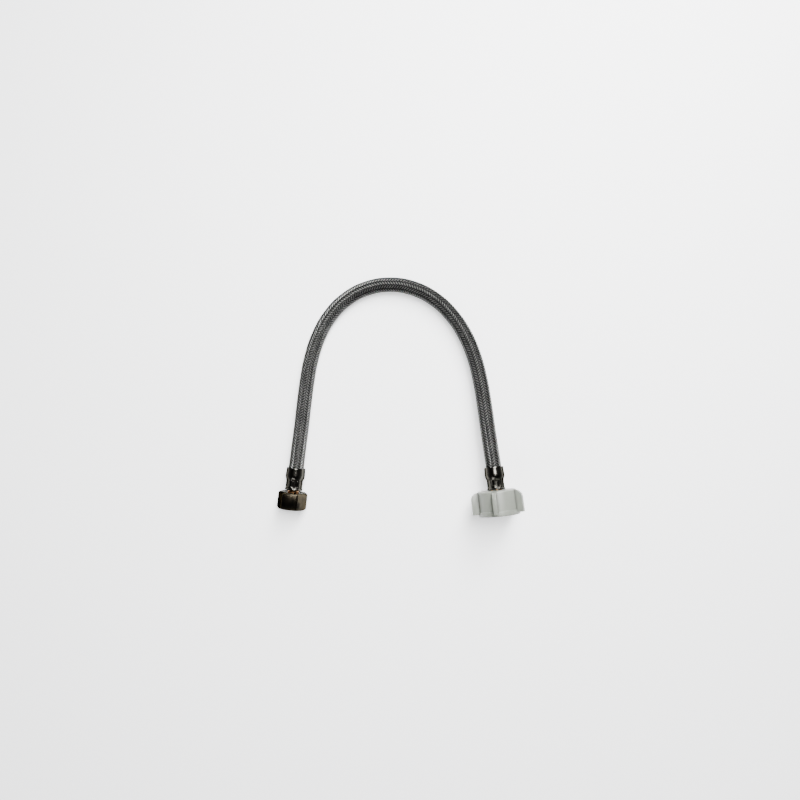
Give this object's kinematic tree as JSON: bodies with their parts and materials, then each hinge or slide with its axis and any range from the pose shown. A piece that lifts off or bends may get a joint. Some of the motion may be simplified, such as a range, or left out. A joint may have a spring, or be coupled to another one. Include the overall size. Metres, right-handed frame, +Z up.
{
  "type": "braided supply line",
  "caption": "Flexible water supply line in a braided steel sleeve, with a hex swivel nut on one end and a plastic wing nut on the other, lying in a horseshoe bend.",
  "frame": {"origin": "on the table, under the middle of the box round the two ends' fittings", "axes": "+Z up from the table that the line lies on, +X from the hex nut to the wing nut, +Y from the nuts towards the bend of the hose"},
  "size_m": [0.2221, 0.2203, 0.0464],
  "materials": {
    "steel_braid": "woven wire, satin",
    "liner_rubber": "matte",
    "stainless": "polished and crimped",
    "brass": "turned",
    "nylon": "moulded",
    "dark_plate": "dark plating over brass",
    "wing_plastic": "satin, moulded",
    "seal_rubber": "matte"
  },
  "bodies": {
    "hose_assembly": {"braid_sleeve": "steel_braid", "liner_tube": "liner_rubber", "inlet_ferrule": "stainless", "inlet_stem": "brass", "inlet_flat_washer": "seal_rubber", "outlet_ferrule": "stainless", "outlet_stem": "brass", "outlet_cone_washer": "seal_rubber"},
    "inlet_ring": {"inlet_slip_ring": "nylon"},
    "inlet_nut": {"inlet_hex_nut": "dark_plate"},
    "outlet_ring": {"outlet_slip_ring": "nylon"},
    "outlet_nut": {"outlet_wing_nut": "wing_plastic"}
  },
  "joints": [
    {"name": "inlet_nut_slide", "type": "slide", "parent": "hose_assembly", "child": "inlet_ring", "axis": [0.1168, 0.9932, 0], "range_m": [0, 0.0017]},
    {"name": "inlet_nut_spin", "type": "hinge", "parent": "inlet_ring", "child": "inlet_nut", "pos_m": [-0.09684, -0.00916, 0.012], "axis": [-0.1168, -0.9932, 0], "continuous": true},
    {"name": "outlet_nut_slide", "type": "slide", "parent": "hose_assembly", "child": "outlet_ring", "axis": [0.1083, -0.9913, 0.075], "range_m": [0, 0.0027]},
    {"name": "outlet_nut_spin", "type": "hinge", "parent": "outlet_ring", "child": "outlet_nut", "pos_m": [0.08927, -0.00713, 0.02245], "axis": [0.1083, -0.9913, 0.075], "continuous": true}
  ]
}
